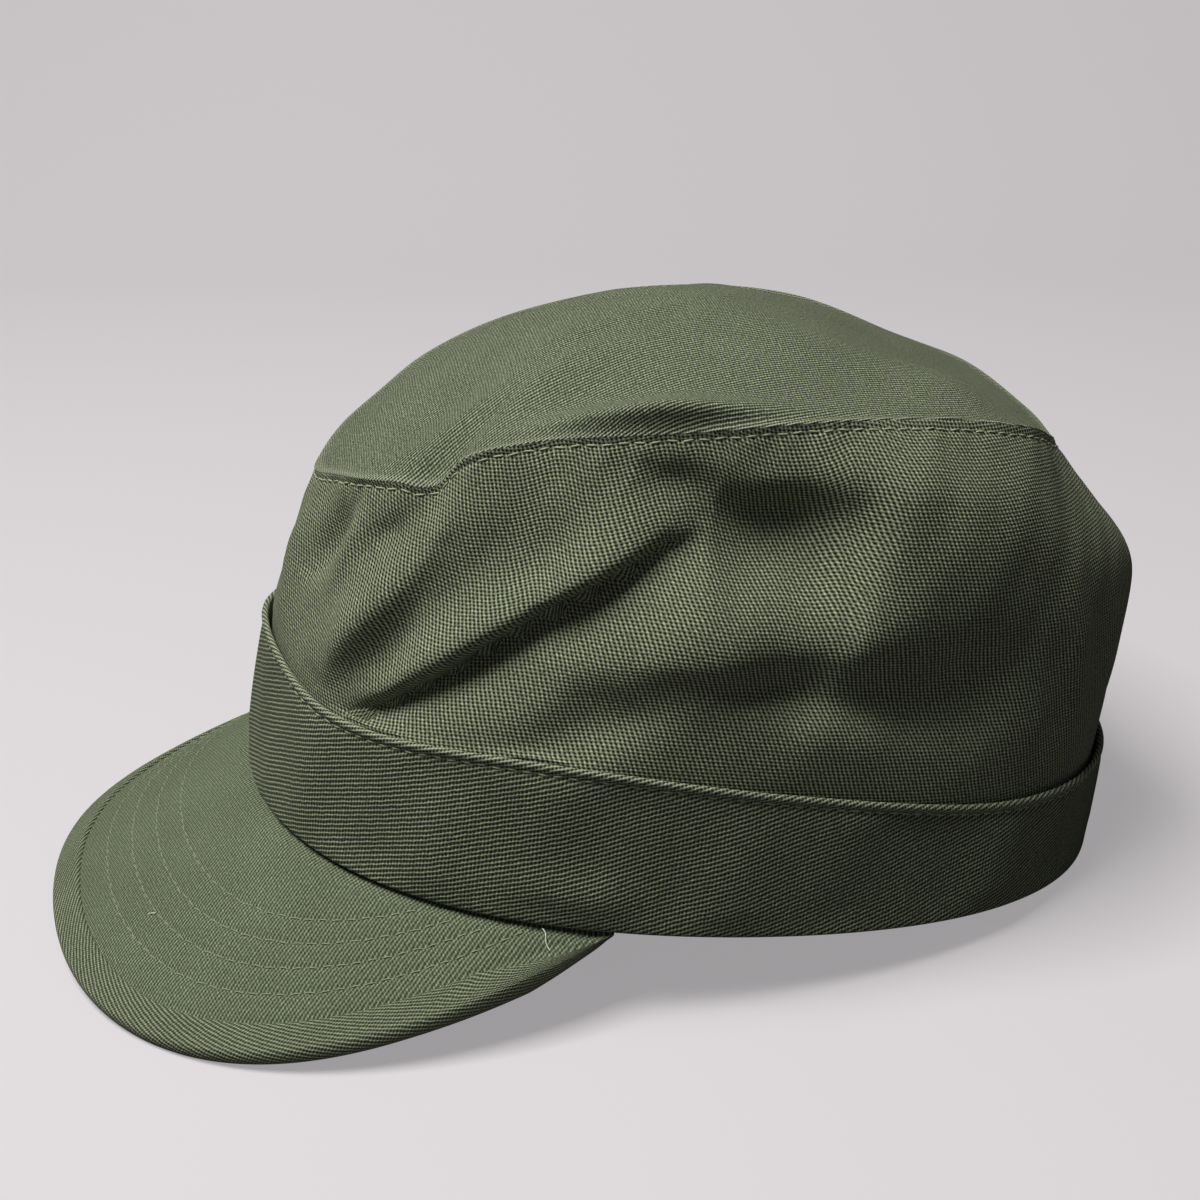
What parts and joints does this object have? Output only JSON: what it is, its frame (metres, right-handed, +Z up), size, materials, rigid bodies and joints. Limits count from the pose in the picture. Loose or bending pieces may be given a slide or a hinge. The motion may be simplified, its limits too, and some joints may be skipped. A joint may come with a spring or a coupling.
{
  "type": "patrol cap",
  "caption": "Soft field cap with a domed oval top panel, a creased side wall, a stitched head band and a stiff bent peak.",
  "frame": {"origin": "centre of the underside of the cap's box, on the surface that the cap rests on", "axes": "-Y the way the peak points, +X the wearer's left, +Z up"},
  "size_m": [0.1582, 0.2528, 0.1318],
  "materials": {
    "top_twill": "olive green cotton twill, matt",
    "side_twill": "olive green cotton twill, matt",
    "band_twill": "olive green cotton twill, matt, folded double",
    "peak_twill": "olive green cotton twill over board, with rows of stitching",
    "binding_twill": "olive green cotton twill cut on the bias"
  },
  "bodies": {
    "root": {"crown_top": "top_twill", "crown_side": "side_twill", "band": "band_twill", "peak": "peak_twill", "peak_binding": "binding_twill"}
  },
  "joints": []
}
